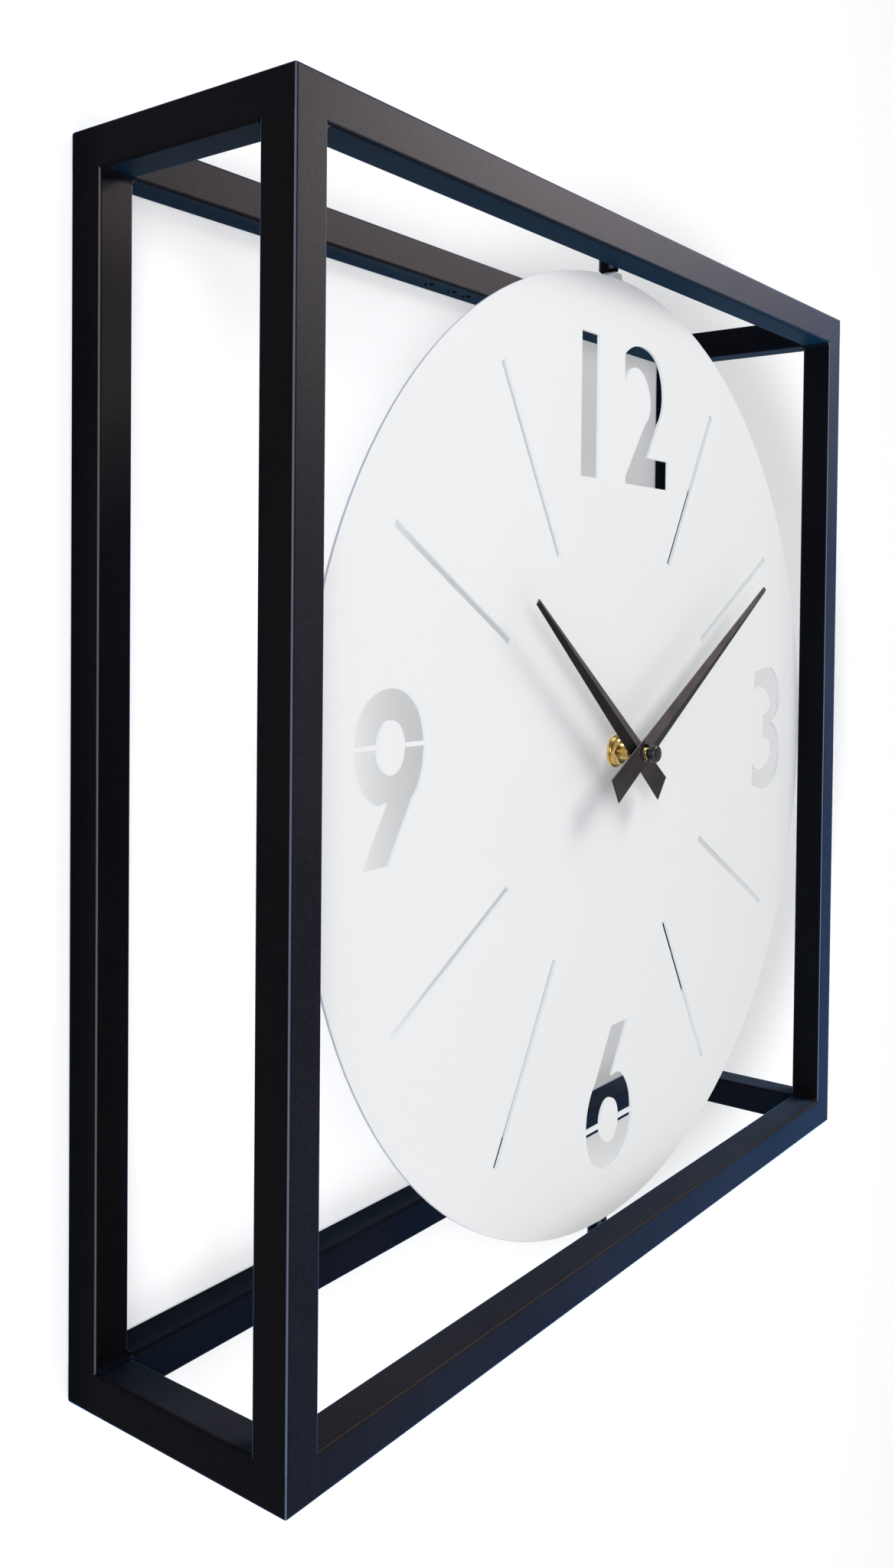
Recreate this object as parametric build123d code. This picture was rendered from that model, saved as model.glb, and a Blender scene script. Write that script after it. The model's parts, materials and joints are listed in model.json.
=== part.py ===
from build123d import *
import os
from math import cos, pi, radians, sin, atan2, degrees

os.makedirs("parts", exist_ok=True)

# A wall clock: a round dial held between two pivots in an open box frame of square steel tube.
# Millimetres.  +X is right as seen from the front, +Z is up, and the wall is the plane Y = 0.
# The origin is the middle of the two hanging holes, on the wall plane.

# ---- frame
frame_width = 500.0
frame_height = 500.0
frame_depth = 118.0
tube = 17.0
tube_wall = 1.2
tube_edge_radius = 1.4
corner_radius = 2.0
hanging_hole_spacing = 120.0
hanging_hole_radius = 4.5
vent_hole_radius = 2.6
vent_hole_places = (-29.0, -9.0, 4.0)

# ---- dial
dial_diameter = 458.0
dial_thickness = 1.5
dial_setback = 15.0
dial_drop = 1.4
dial_edge_break = 0.2
slot_inner_radius = 107.0
slot_outer_radius = 202.0
slot_width = 3.4
stencil_bridge = 1.8

# ---- pivots that carry the dial
pivot_bush_radius = 4.75
pivot_bush_length = 14.0
pivot_bush_reach = 1.65
pivot_pin_radius = 2.5
pivot_pin_insertion = 8.0
pivot_end_gap = 0.3
pivot_setback = tube + pivot_bush_radius + 0.05
lug_width = 8.0
lug_height = 16.0
running_clearance = 0.05

# ---- hands
hand_ridge = 1.5
hand_thickness = 0.5
hour_hand_angle = 308.0
hour_hand_length = 116.0
minute_hand_angle = 59.4
minute_hand_length = 161.0
hand_tail = 31.7
hand_tip_width = 3.0
hand_tail_width = 13.2

# ---- movement, depths measured behind the front face of the dial
case_width = 56.0
case_depth = 16.0
case_wall = 1.2
case_corner = 3.0
gasket_thickness = 1.9
bush_radius = 4.0
hour_pipe_radius = 2.3
minute_pipe_radius = 1.3
arbor_radius = 0.5
battery_radius = 7.15
battery_length = 50.5
battery_gap = 0.4
battery_drop = 19.2
chamber_floor = -10.6
hour_pipe_end = -13.6
minute_pipe_end = -18.6
seconds_arbor_end = -21.0
hour_hand_depth = -12.4
minute_hand_depth = -15.5

# ---- derived
frame_mid_z = -(frame_height - tube) / 2
frame_front_y = -frame_depth
dial_face_y = frame_front_y + dial_setback
dial_mid_z = frame_mid_z - dial_drop
pivot_y = frame_front_y + pivot_setback
case_front = dial_thickness + gasket_thickness
case_inside = case_front + case_wall
case_back = case_front + case_depth
cover_inside = case_back - case_wall
battery_y = dial_face_y + case_inside + battery_gap + battery_radius
battery_z = dial_mid_z - battery_drop


# ================================================================ helpers

def export_node(name, shape):
    shape.label = name
    export_step(shape, f"parts/{name}.step")


def front_plane(x, z, depth):
    """Sketch plane seen from the front, at a point of the dial's own coordinates."""
    return Plane(origin=(x, dial_face_y + depth, dial_mid_z + z), x_dir=(1, 0, 0), z_dir=(0, -1, 0))


def slab(sketch, depth_front, depth_back, x=0.0, z=0.0):
    """Solid from a sketch seen from the front, between two depths behind the dial's face."""
    return extrude(front_plane(x, z, depth_back) * sketch, depth_back - depth_front)


def disc(radius, depth_front, depth_back, x=0.0, z=0.0):
    return slab(Circle(radius), depth_front, depth_back, x, z)


def block(x0, x1, z0, z1, depth_front, depth_back):
    middle = Pos((x0 + x1) / 2, (z0 + z1) / 2) * Rectangle(x1 - x0, z1 - z0)
    return slab(middle, depth_front, depth_back)


def joined(first, *others):
    for other in others:
        first = first + other
    return first


# ================================================================ frame

def square_tube(length):
    """Hollow tube along X, centred."""
    outer = Box(length, tube, tube)
    outer = fillet(outer.edges().filter_by(Axis.X), tube_edge_radius)
    inside = tube - 2 * tube_wall
    return outer - Box(length + 2, inside, inside)


def mitred_tube(length):
    """Tube along X with 45 degree ends; its long side is +Z."""
    half = tube / 2
    outline = Polyline(
        (-length / 2, half), (length / 2, half), (length / 2 - tube, -half), (-length / 2 + tube, -half), close=True
    )
    prism = extrude(Plane.XZ * make_face(outline), tube, both=True)
    return square_tube(length) & prism


def round_corners(member, y):
    """Takes the sharp outer corner off a mitred member."""
    outline = RectangleRounded(frame_width, frame_height, corner_radius)
    envelope = extrude(Plane.XZ.offset(-y) * Pos(0, frame_mid_z) * outline, tube, both=True)
    return member & envelope


def frame_square(y):
    """Top, bottom, left and right members of one mitred square."""
    reach_x = (frame_width - tube) / 2
    reach_z = (frame_height - tube) / 2
    members = {
        "top_rail": Pos(0, y, frame_mid_z + reach_z) * mitred_tube(frame_width),
        "bottom_rail": Pos(0, y, frame_mid_z - reach_z) * Rot(0, 180, 0) * mitred_tube(frame_width),
        "left_post": Pos(-reach_x, y, frame_mid_z) * Rot(0, -90, 0) * mitred_tube(frame_height),
        "right_post": Pos(reach_x, y, frame_mid_z) * Rot(0, 90, 0) * mitred_tube(frame_height),
    }
    return {name: round_corners(member, y) for name, member in members.items()}


def hole_along_y(x, z, radius, y0, y1):
    return Pos(x, (y0 + y1) / 2, z) * Rot(90, 0, 0) * Cylinder(radius, y1 - y0)


def back_top_rail(plain):
    """Adds the two hanging holes in the wall side and the vent holes in the underside."""
    rail = plain
    for side in (-1, 1):
        rail = rail - hole_along_y(side * hanging_hole_spacing / 2, 0, hanging_hole_radius, -tube / 2, 1)
    for x in vent_hole_places:
        rail = rail - Pos(x, -tube / 2, -tube / 2) * Cylinder(vent_hole_radius, tube / 2)
    return rail


def side_rail(x, z):
    length = frame_depth - 2 * tube
    return Pos(x, -frame_depth / 2, z) * Rot(0, 0, 90) * square_tube(length)


def build_frame():
    for name, member in frame_square(frame_front_y + tube / 2).items():
        export_node("front_" + name, member)
    for name, member in frame_square(-tube / 2).items():
        export_node("back_" + name, back_top_rail(member) if name == "top_rail" else member)
    reach_x = (frame_width - tube) / 2
    reach_z = (frame_height - tube) / 2
    for row, z in (("top", frame_mid_z + reach_z), ("bottom", frame_mid_z - reach_z)):
        for side, x in (("left", -reach_x), ("right", reach_x)):
            export_node(f"{row}_{side}_side_rail", side_rail(x, z))


# ================================================================ pivots

def pivot_bush():
    """Round bush welded upright behind the rail; its chamfered end is at z = 0, pointing down."""
    bush = Pos(0, 0, pivot_bush_length / 2) * Cylinder(pivot_bush_radius, pivot_bush_length)
    bush = chamfer(bush.edges().group_by(Axis.Z)[0], 1.5)
    bore = Pos(0, 0, pivot_bush_length / 2) * Cylinder(pivot_pin_radius, pivot_bush_length + 2)
    return bush - bore


def pivot_pin():
    """Pin pressed in the bush, with a slotted head at its outer end; the tip runs in the lug."""
    length = pivot_bush_length - 1 + pivot_pin_insertion
    pin = Pos(0, 0, length / 2 - pivot_pin_insertion) * Cylinder(pivot_pin_radius, length)
    pin = chamfer(pin.edges(), 0.4)
    slot = Pos(0, 0, pivot_bush_length - 1) * Box(2 * pivot_pin_radius, 0.8, 1.2)
    return pin - slot


def dial_lug():
    """Round-backed lug on the back of the dial; z = 0 is its pivot end, and it reaches down."""
    dial_back = dial_face_y + dial_thickness - pivot_y
    outline = Circle(lug_width / 2) + Pos(0, dial_back / 2) * Rectangle(lug_width, -dial_back)
    lug = extrude(outline, -lug_height)
    rim = lug.faces().sort_by(Axis.Z)[-1].edges().sort_by(Axis.Y)[1:]
    lug = chamfer(rim, 1.2)
    bore_depth = pivot_pin_insertion - pivot_end_gap + 0.5
    return lug - Pos(0, 0, -bore_depth / 2) * Cylinder(pivot_pin_radius + running_clearance, bore_depth)


def build_pivots():
    inner = frame_height / 2 - tube
    top = frame_mid_z + inner - pivot_bush_reach
    bottom = frame_mid_z - inner + pivot_bush_reach
    upright = Pos(0, pivot_y, top)
    inverted = Pos(0, pivot_y, bottom) * Rot(0, 180, 0)
    export_node("pivot_bushes", Compound(children=[upright * pivot_bush(), inverted * pivot_bush()]))
    export_node("pivot_pins", Compound(children=[upright * pivot_pin(), inverted * pivot_pin()]))
    lowered = Pos(0, pivot_y, top - pivot_end_gap)
    raised = Pos(0, pivot_y, bottom + pivot_end_gap) * Rot(0, 180, 0)
    export_node("top_dial_lug", lowered * dial_lug())
    export_node("bottom_dial_lug", raised * dial_lug())


# ================================================================ dial

def numeral_one():
    return Pos(-27.4, 165.1) * Rectangle(16.2, 68.0)


def numeral_two():
    """Swan-necked two on a flat foot, in the dial's own coordinates."""
    outer = Spline((5.5, 194.0), (24.0, 200.2), (40.0, 194.5), (46.6, 180.0), (41.0, 163.5))
    diagonal = Polyline((41.0, 163.5), (30.0, 145.5), (52.0, 145.5), (52.0, 131.0), (7.0, 131.0), (7.0, 134.5),
                        (26.5, 162.0))
    inner = Spline((26.5, 162.0), (31.8, 175.5), (22.0, 187.8), (5.5, 180.2))
    terminal = Line((5.5, 180.2), (5.5, 194.0))
    return make_face([outer, diagonal, inner, terminal])


def numeral_three():
    """Flat-ended three, centred."""
    upper_inner = Spline((-18.0, 21.6), (-5.5, 23.4), (4.4, 15.2), (-5.2, 7.8))
    waist = Line((-5.2, 7.8), (-5.2, -5.2))
    lower_inner = Spline((-5.2, -5.2), (6.0, -14.2), (-5.0, -23.2), (-19.0, -18.8))
    lower_end = Line((-19.0, -18.8), (-20.0, -31.8))
    lower_outer = Spline((-20.0, -31.8), (-5.5, -35.6), (12.5, -30.8), (20.0, -16.0), (7.0, 3.0))
    upper_outer = Spline((7.0, 3.0), (19.0, 20.0), (9.0, 34.2), (-2.0, 35.6), (-18.0, 33.2))
    upper_end = Line((-18.0, 33.2), (-18.0, 21.6))
    return make_face([upper_inner, waist, lower_inner, lower_end, lower_outer, upper_outer, upper_end])


def numeral_six():
    """Straight-stemmed six, centred, with a stencil bridge that holds the middle of the bowl."""
    stem = Polyline((-14.7, 9.7), (0.7, 34.7), (17.2, 34.7), (2.0, 9.75))
    bowl = Spline((2.0, 9.75), (9.0, 10.0), (19.6, 0.6), (22.5, -12.2), (17.0, -27.6), (-0.5, -34.8),
                  (-17.6, -27.0), (-22.7, -12.2), (-14.7, 9.7))
    eye = Pos(-0.4, -11.6) * Ellipse(8.6, 10.8)
    bridge = Pos(0, -12.2) * Rectangle(60, stencil_bridge)
    return make_face([stem, bowl]) - eye - bridge


def hour_slot(hour):
    length = slot_outer_radius - slot_inner_radius
    middle = (slot_outer_radius + slot_inner_radius) / 2
    return Rot(0, 0, -30 * hour) * Pos(0, middle) * Rectangle(slot_width, length)


def dial_plate():
    plate = disc(dial_diameter / 2, 0, dial_thickness)
    plate = chamfer(plate.edges(), dial_edge_break)
    plate = plate - disc(bush_radius + 0.2, -1, dial_thickness + 1)
    for hour in (1, 2, 4, 5, 7, 8, 10, 11):
        plate = plate - slab(hour_slot(hour), -1, dial_thickness + 1)
    numerals = (
        numeral_one(),
        numeral_two(),
        Pos(181.0, 1.4) * numeral_three(),
        Pos(-0.8, -169.8) * numeral_six(),
        Pos(-176.5, 1.6) * Rot(0, 0, 180) * numeral_six(),
    )
    for numeral in numerals:
        plate = plate - slab(numeral, -1, dial_thickness + 1)
    return plate


# ================================================================ hands

def hand_section(width, ridge, along):
    """Roof-shaped cross-section of a hand, across the local X at a distance along the local Y."""
    half = width / 2
    outline = Polyline((-half, 0), (half, 0), (half, hand_thickness), (0, ridge), (-half, hand_thickness), close=True)
    return Plane(origin=(0, along, 0), x_dir=(1, 0, 0), z_dir=(0, -1, 0)) * make_face(outline)


def hand(length, angle, depth, bore):
    """Tapered baton with a centre ridge, pointing up before it is turned; depth is its back face."""
    span = length + hand_tail
    at_hub = hand_tip_width + (hand_tail_width - hand_tip_width) * (length - 9) / span
    blade = loft([hand_section(at_hub, hand_ridge, 9), hand_section(hand_tip_width, 0.9, length)], ruled=True)
    foot_outline = Polyline(
        (-hand_tail_width / 2, -hand_tail), (hand_tail_width / 2, -hand_tail), (at_hub / 2, 9), (-at_hub / 2, 9),
        close=True,
    )
    foot = extrude(make_face(foot_outline), hand_thickness)
    boss = Pos(0, 0, 0.6) * Cylinder(4.2, 1.2)
    body = foot + blade + boss - Cylinder(bore, 10)
    at_front = Plane(
        origin=(0, dial_face_y + depth, dial_mid_z),
        x_dir=(cos(radians(angle)), 0, -sin(radians(angle))),
        z_dir=(0, -1, 0),
    )
    return at_front * body


# ================================================================ gears

def gear_outline(teeth, module, phase):
    """Stub-toothed wheel; phase is the angle of one tooth, anticlockwise from +X seen from the front."""
    pitch = module * teeth / 2
    tip, root = pitch + 0.65 * module, pitch - 0.9 * module
    step = 2 * pi / teeth
    points = []
    for tooth in range(teeth):
        middle = radians(phase) + tooth * step
        for radius, share in ((root, -0.30), (tip, -0.11), (tip, 0.11), (root, 0.30)):
            points.append((radius * cos(middle + share * step), radius * sin(middle + share * step)))
    return make_face(Polyline(*points, close=True))


def meshed_phase(driver_at, driver_teeth, driver_phase, wheel_at, wheel_teeth):
    """Phase of a wheel that puts one of its gaps at the driver's tooth on the line of centres."""
    line = degrees(atan2(wheel_at[1] - driver_at[1], wheel_at[0] - driver_at[0]))
    driver_share = ((line - driver_phase) * driver_teeth / 360) % 1
    return line + 180 - (0.5 - driver_share) * 360 / wheel_teeth


def gear(teeth, module, phase, at, front, thickness):
    """Gear at a place of the movement; front is its depth behind the inside of the case front."""
    depth = case_inside + front
    return slab(gear_outline(teeth, module, phase), depth, depth + thickness, *at)


def arbor(at, front, back, radius=arbor_radius):
    return disc(radius, case_inside + front, case_inside + back, *at)


def bored(shape, radius, at=(0.0, 0.0)):
    return shape - disc(radius, -60, 60, *at)


# Going train: rotor 8 : 48 fifth 12 : 60 seconds 8 : 60 third 8 : 64 centre.
# Motion work: minute pipe 12 : 36 motion 10 : 40 hour, and motion 36 : 12 setting.
centre_at = (0.0, 0.0)
third_distance = 9.2
fifth_distance = 9.36
rotor_distance = 7.0
motion_distance = 7.2
third_at = (-third_distance * cos(pi / 4), third_distance * sin(pi / 4))
fifth_at = (fifth_distance * cos(pi / 4), fifth_distance * sin(pi / 4))
rotor_at = (fifth_at[0] + rotor_distance, fifth_at[1])
motion_at = (0.0, motion_distance)
setting_at = (0.0, 2 * motion_distance)
third_module = 2 * third_distance / (8 + 60)
centre_module = 2 * third_distance / (8 + 64)
fifth_module = 2 * fifth_distance / (12 + 60)
rotor_module = 2 * rotor_distance / (8 + 48)
motion_module = 2 * motion_distance / (12 + 36)
hour_module = 2 * motion_distance / (10 + 40)
plate_front, plate_back = 3.5, 4.3
pivot_depth = 14.2
centre_wheel_front, centre_wheel_thickness = 4.8, 0.8


def centre_wheel():
    """Turns once an hour and slips on the minute pipe while the hands are set."""
    wheel = gear(64, centre_module, 0, centre_at, centre_wheel_front, centre_wheel_thickness)
    return bored(wheel, minute_pipe_radius + running_clearance)


def minute_pipe():
    """Long pipe that carries the minute hand, with the cannon pinion and the collar behind the wheel."""
    pinion = gear(12, motion_module, 0, centre_at, 2.1, 1.0)
    collar_front = centre_wheel_front + centre_wheel_thickness + running_clearance
    collar = arbor(centre_at, collar_front, collar_front + 0.3, minute_pipe_radius + 0.7)
    pipe = disc(minute_pipe_radius, minute_pipe_end, case_inside + collar_front + 0.3)
    return bored(joined(pinion, collar, pipe), arbor_radius + running_clearance)


def hour_wheel():
    motion_phase = 0
    phase = meshed_phase(motion_at, 10, motion_phase, centre_at, 40)
    wheel = gear(40, hour_module, phase, centre_at, 0.6, 0.9)
    pipe = disc(hour_pipe_radius, hour_pipe_end, case_inside + 1.5)
    return bored(joined(wheel, pipe), minute_pipe_radius + running_clearance)


def motion_wheel():
    phase = meshed_phase(centre_at, 12, 0, motion_at, 36)
    wheel = gear(36, motion_module, phase, motion_at, 2.2, 0.8)
    pinion = gear(10, hour_module, 0, motion_at, 0.5, 1.7)
    return joined(wheel, pinion, arbor(motion_at, -0.5, plate_back - 0.1))


def setting_knob():
    """Knob behind the cover, its shaft and the pinion that turns the motion work."""
    motion_phase = meshed_phase(centre_at, 12, 0, motion_at, 36)
    phase = meshed_phase(motion_at, 36, motion_phase, setting_at, 12)
    pinion = gear(12, motion_module, phase, setting_at, 2.2, 0.8)
    shaft = disc(1.2, case_inside + 2.2, case_back + 1.0, *setting_at)
    knob = disc(5.5, case_back + 0.4, case_back + 3.0, *setting_at)
    knob = chamfer(knob.edges(), 0.4)
    for turn in range(24):
        angle = turn * pi / 12
        place = (setting_at[0] + 5.6 * cos(angle), setting_at[1] + 5.6 * sin(angle))
        knob = knob - disc(0.35, case_back, case_back + 4, *place)
    return joined(knob, shaft, pinion)


def third_wheel():
    phase = meshed_phase(centre_at, 64, 0, third_at, 8)
    pinion = gear(8, centre_module, phase, third_at, 4.6, 2.0)
    wheel = gear(60, third_module, 0, third_at, 6.6, 0.8)
    return joined(wheel, pinion, arbor(third_at, plate_front + 0.1, pivot_depth))


def seconds_wheel():
    phase = meshed_phase(third_at, 60, 0, centre_at, 8)
    pinion = gear(8, third_module, phase, centre_at, 6.3, 1.9)
    wheel = gear(60, fifth_module, 0, centre_at, 8.2, 0.8)
    return joined(wheel, pinion, disc(arbor_radius, seconds_arbor_end, case_inside + pivot_depth))


def fifth_wheel():
    phase = meshed_phase(centre_at, 60, 0, fifth_at, 12)
    pinion = gear(12, fifth_module, phase, fifth_at, 7.9, 1.9)
    wheel = gear(48, rotor_module, 0, fifth_at, 9.8, 0.8)
    return joined(wheel, pinion, arbor(fifth_at, plate_front + 0.1, pivot_depth))


def rotor_pinion():
    phase = meshed_phase(fifth_at, 48, 0, rotor_at, 8)
    pinion = gear(8, rotor_module, phase, rotor_at, 9.2, 1.8)
    return joined(pinion, arbor(rotor_at, plate_front + 0.1, pivot_depth))


def rotor_magnet():
    magnet = disc(2.9, case_inside + 6.4, case_inside + 8.8, *rotor_at)
    return bored(magnet, arbor_radius, rotor_at)


# ================================================================ movement

post_places = ((-23.5, -7.5), (23.5, -7.5), (-23.5, 23.5), (23.5, 23.5))


def movement_case():
    """Moulded box, open at the back: gear chamber above, battery bay below."""
    outline = RectangleRounded(case_width, case_width, case_corner)
    shell = slab(outline, case_front, case_back)
    shell = chamfer(shell.faces().sort_by(Axis.Y)[0].edges(), 0.6)
    half = case_width / 2 - case_wall
    chamber = block(-half, half, chamber_floor, half, case_inside, case_back + 1)
    bay = block(-half, half, -half, chamber_floor - 1.0, case_inside, case_back + 1)
    shell = shell - chamber - bay
    shell = bored(shell, bush_radius)
    for place in post_places:
        shell = shell + disc(1.6, case_inside, case_inside + plate_front, *place)
    shell = shell - disc(arbor_radius + running_clearance, case_inside - 0.7, case_inside + 0.1, *motion_at)
    return shell


def train_plate():
    """Bearing plate across the gear chamber, with pillars up to the cover."""
    half = case_width / 2 - case_wall - 0.2
    front, back = case_inside + plate_front, case_inside + plate_back
    plate = block(-half, half, chamber_floor + 0.2, half, front, back)
    for place in post_places:
        plate = plate + disc(1.6, back, cover_inside, *place)
    for place in ((24.0, 6.0), (10.9, 18.0)):
        plate = plate + disc(0.8, back, case_inside + 7.2, *place)
    for place in ((-20.0, 16.0), (-11.0, 22.5)):
        plate = plate + disc(0.8, back, case_inside + 10.6, *place)
    plate = bored(plate, minute_pipe_radius + running_clearance)
    for place in (motion_at, third_at, fifth_at, rotor_at):
        plate = bored(plate, arbor_radius + running_clearance, place)
    return bored(plate, 1.2 + running_clearance, setting_at)


def movement_cover():
    """Back cover of the gear chamber, with blind pivot holes and the opening for the setting shaft."""
    half = case_width / 2 - case_wall - 0.1
    cover = block(-half, half, chamber_floor + 0.1, half, cover_inside, case_back)
    for place in (centre_at, third_at, fifth_at, rotor_at):
        cover = cover - disc(arbor_radius + running_clearance, cover_inside - 1, cover_inside + 0.8, *place)
    return bored(cover, 1.2 + running_clearance, setting_at)


def threaded_bush():
    """Brass bush through the dial, with a flange inside the case."""
    bush = disc(bush_radius, -9.5, case_inside)
    bush = chamfer(bush.faces().sort_by(Axis.Y)[0].edges(), 0.4)
    flange = disc(bush_radius + 1.6, case_inside, case_inside + 0.4)
    return bored(joined(bush, flange), hour_pipe_radius + running_clearance)


def gasket():
    return bored(disc(9.0, dial_thickness, case_front), bush_radius)


def flat_washer():
    return bored(disc(7.9, -0.8, 0), bush_radius)


def flange_nut():
    hexagon = slab(RegularPolygon(6.0, 6, major_radius=False), -4.2, -1.6)
    return bored(joined(hexagon, disc(6.9, -1.6, -0.8)), bush_radius)


def minute_nut():
    ring = disc(2.9, -18.4, -16.7)
    ring = chamfer(ring.faces().sort_by(Axis.Y)[0].edges(), 0.4)
    return bored(ring, minute_pipe_radius)


def seconds_cap():
    """Small domed cap pushed on the end of the seconds arbor."""
    cap = disc(4.35, -23.9, -19.0)
    cap = fillet(cap.faces().sort_by(Axis.Y)[0].edges(), 3.4)
    return cap - disc(arbor_radius, seconds_arbor_end, -18)


def stator():
    """Soft iron loop: rotor hole below, coil core across the top."""
    plate = block(9.4, 25.4, 1.8, 19.5, case_inside + 7.2, case_inside + 8.0)
    plate = plate - block(12.4, 22.4, 11.2, 16.5, case_inside + 7, case_inside + 9)
    return bored(plate, 3.5, rotor_at)


def across(sketch, x0, x1):
    """Solid of constant section along X, the sketch's own X being depth and its Y height."""
    plane = Plane(origin=(x0, dial_face_y + case_inside + 7.6, dial_mid_z + 18.0), x_dir=(0, 1, 0), z_dir=(1, 0, 0))
    return extrude(plane * sketch, x1 - x0)


def coil_bobbin():
    sleeve = across(Rectangle(2.4, 4.6), 12.6, 22.2)
    ends = across(Circle(3.3), 12.6, 13.3) + across(Circle(3.3), 21.5, 22.2)
    return sleeve + ends - across(Rectangle(0.8, 3.0), 12, 23)


def coil_winding():
    return across(Circle(3.0), 13.3, 21.5) - across(Rectangle(2.4, 4.6), 13, 22)


def circuit_board():
    return block(-21.5, -8.0, 14.0, 25.0, case_inside + 10.6, case_inside + 11.4)


def quartz_crystal():
    can = Pos(-15.5, 0, 0) * Rot(0, 90, 0) * Cylinder(1.0, 7.0)
    can = fillet(can.edges(), 0.25)
    return Pos(0, dial_face_y + case_inside + 9.6, dial_mid_z + 20.5) * can


def clock_chip():
    return disc(2.0, case_inside + 11.4, case_inside + 12.4, -12.5, 17.5)


def battery_cell():
    """AA cell on its side, positive end to the right."""
    half = battery_length / 2
    body = Pos(-0.6, 0, 0) * Rot(0, 90, 0) * Cylinder(battery_radius, battery_length - 1.2)
    body = fillet(body.edges(), 0.5)
    nub = Pos(half - 0.8, 0, 0) * Rot(0, 90, 0) * Cylinder(2.7, 1.6)
    return Pos(0, battery_y, battery_z) * (body + nub)


def battery_contact(side):
    """Spring-steel leaf on the end wall of the bay, with a bump towards the cell."""
    half = case_width / 2 - case_wall
    leaf = Pos(side * (half - 0.2), battery_y, battery_z) * Box(0.4, 11, 12)
    bump = Pos(side * (half - 0.65), battery_y, battery_z) * Rot(0, 90, 0) * Cylinder(3.0, 0.5)
    return leaf + bump


def build_movement():
    export_node("movement_case", movement_case())
    export_node("movement_cover", movement_cover())
    export_node("train_plate", train_plate())
    export_node("threaded_bush", threaded_bush())
    export_node("gasket", gasket())
    export_node("flat_washer", flat_washer())
    export_node("flange_nut", flange_nut())
    export_node("stator", stator())
    export_node("coil_bobbin", coil_bobbin())
    export_node("coil_winding", coil_winding())
    export_node("circuit_board", circuit_board())
    export_node("quartz_crystal", quartz_crystal())
    export_node("clock_chip", clock_chip())
    export_node("positive_contact", battery_contact(1))
    export_node("negative_contact", battery_contact(-1))
    export_node("battery_cell", battery_cell())


def build_train():
    export_node("centre_wheel", centre_wheel())
    export_node("minute_pipe", minute_pipe())
    export_node("hour_wheel", hour_wheel())
    export_node("motion_wheel", motion_wheel())
    export_node("setting_knob", setting_knob())
    export_node("third_wheel", third_wheel())
    export_node("seconds_wheel", seconds_wheel())
    export_node("fifth_wheel", fifth_wheel())
    export_node("rotor_pinion", rotor_pinion())
    export_node("rotor_magnet", rotor_magnet())


def build_hands():
    export_node("hour_hand", hand(hour_hand_length, hour_hand_angle, hour_hand_depth, hour_pipe_radius))
    export_node("minute_hand", hand(minute_hand_length, minute_hand_angle, minute_hand_depth, minute_pipe_radius))
    export_node("minute_nut", minute_nut())
    export_node("seconds_cap", seconds_cap())


build_frame()
build_pivots()
export_node("dial_plate", dial_plate())
build_movement()
build_train()
build_hands()
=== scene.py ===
import json
from math import cos, pi, radians, sin

import bpy
from mathutils import Matrix, Vector

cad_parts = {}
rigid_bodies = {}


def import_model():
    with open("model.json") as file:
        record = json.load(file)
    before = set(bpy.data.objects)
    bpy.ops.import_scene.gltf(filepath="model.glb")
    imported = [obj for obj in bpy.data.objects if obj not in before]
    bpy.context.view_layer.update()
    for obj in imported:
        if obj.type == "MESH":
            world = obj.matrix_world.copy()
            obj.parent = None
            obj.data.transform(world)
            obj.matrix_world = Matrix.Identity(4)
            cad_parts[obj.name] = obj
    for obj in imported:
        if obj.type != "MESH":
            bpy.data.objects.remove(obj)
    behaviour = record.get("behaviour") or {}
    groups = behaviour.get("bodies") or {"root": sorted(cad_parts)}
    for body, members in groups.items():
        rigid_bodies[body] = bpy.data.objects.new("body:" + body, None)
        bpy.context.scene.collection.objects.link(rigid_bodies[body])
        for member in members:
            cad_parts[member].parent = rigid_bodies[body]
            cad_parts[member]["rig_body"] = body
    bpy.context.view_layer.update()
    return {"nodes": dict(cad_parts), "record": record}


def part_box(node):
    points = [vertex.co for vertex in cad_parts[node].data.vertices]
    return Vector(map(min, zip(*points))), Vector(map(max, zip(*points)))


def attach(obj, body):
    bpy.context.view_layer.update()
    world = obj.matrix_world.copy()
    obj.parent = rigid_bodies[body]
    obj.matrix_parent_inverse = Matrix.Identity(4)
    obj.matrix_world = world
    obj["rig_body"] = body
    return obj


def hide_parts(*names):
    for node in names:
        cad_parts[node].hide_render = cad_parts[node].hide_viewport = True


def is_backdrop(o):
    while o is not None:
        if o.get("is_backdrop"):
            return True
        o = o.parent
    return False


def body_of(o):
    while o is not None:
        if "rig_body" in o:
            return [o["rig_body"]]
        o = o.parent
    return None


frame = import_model()

bl_info = {
    "name": "Box-frame wall clock",
    "version": (1, 0, 0),
    "blender": (4, 5, 0),
    "location": "3D View > Sidebar > Clock",
    "description": "Finishes and turned parts for a quartz wall clock in an open tube frame",
    "category": "Object",
}

MM = 0.001
DIAL_LOW, DIAL_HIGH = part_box("dial_plate")
DIAL_FACE = DIAL_LOW.y
AXIS = Vector((0.0, DIAL_FACE, (DIAL_LOW.z + DIAL_HIGH.z) / 2))
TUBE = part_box("top_left_side_rail")[1].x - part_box("top_left_side_rail")[0].x

# Depths in millimetres in front of (minus) or behind (plus) the face of the dial.
HOUR_HAND_DEPTH = -12.4
MINUTE_HAND_DEPTH = -15.5
CAP_FRONT = -23.9
BUSH_BACK = 5.0

# Radii in millimetres of what turns inside the bush, with its clearance.
BUSH_RADIUS = 4.0
HOUR_BORE = 2.3
MINUTE_BORE = 1.3
CLEARANCE = 0.02

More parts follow.
